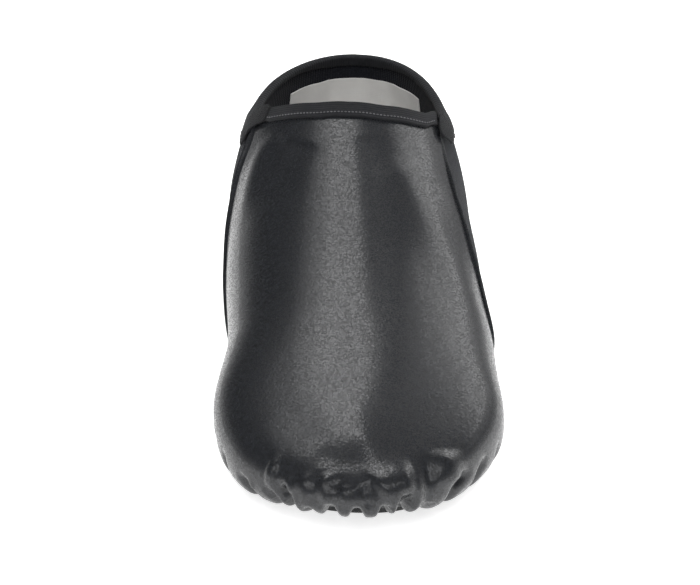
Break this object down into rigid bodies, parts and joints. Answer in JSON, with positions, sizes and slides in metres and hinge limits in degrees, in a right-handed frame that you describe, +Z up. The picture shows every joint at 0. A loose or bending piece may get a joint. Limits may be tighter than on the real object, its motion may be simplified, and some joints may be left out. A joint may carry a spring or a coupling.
{
  "type": "jazz shoe",
  "caption": "Slip-on jazz shoe for the right foot with a gathered leather toe, elastic sides, taped edges and a split sole.",
  "frame": {"origin": "under the middle of the shoe's box, on the floor that it stands on", "axes": "+Z up, toe towards -Y, heel towards +Y, inner side of the right foot towards +X"},
  "size_m": [0.0898, 0.2502, 0.0797],
  "materials": {
    "leather": "satin",
    "elastic": "matte",
    "tape": "matte",
    "lining": "matte",
    "insole": "matte",
    "sole": "matte"
  },
  "bodies": {
    "root": {"upper": "leather", "throat_tape": "tape", "collar_tape": "tape", "heel_quarter": "leather", "insole": "insole", "forefoot_pad": "sole", "heel_pad": "sole"}
  },
  "joints": []
}
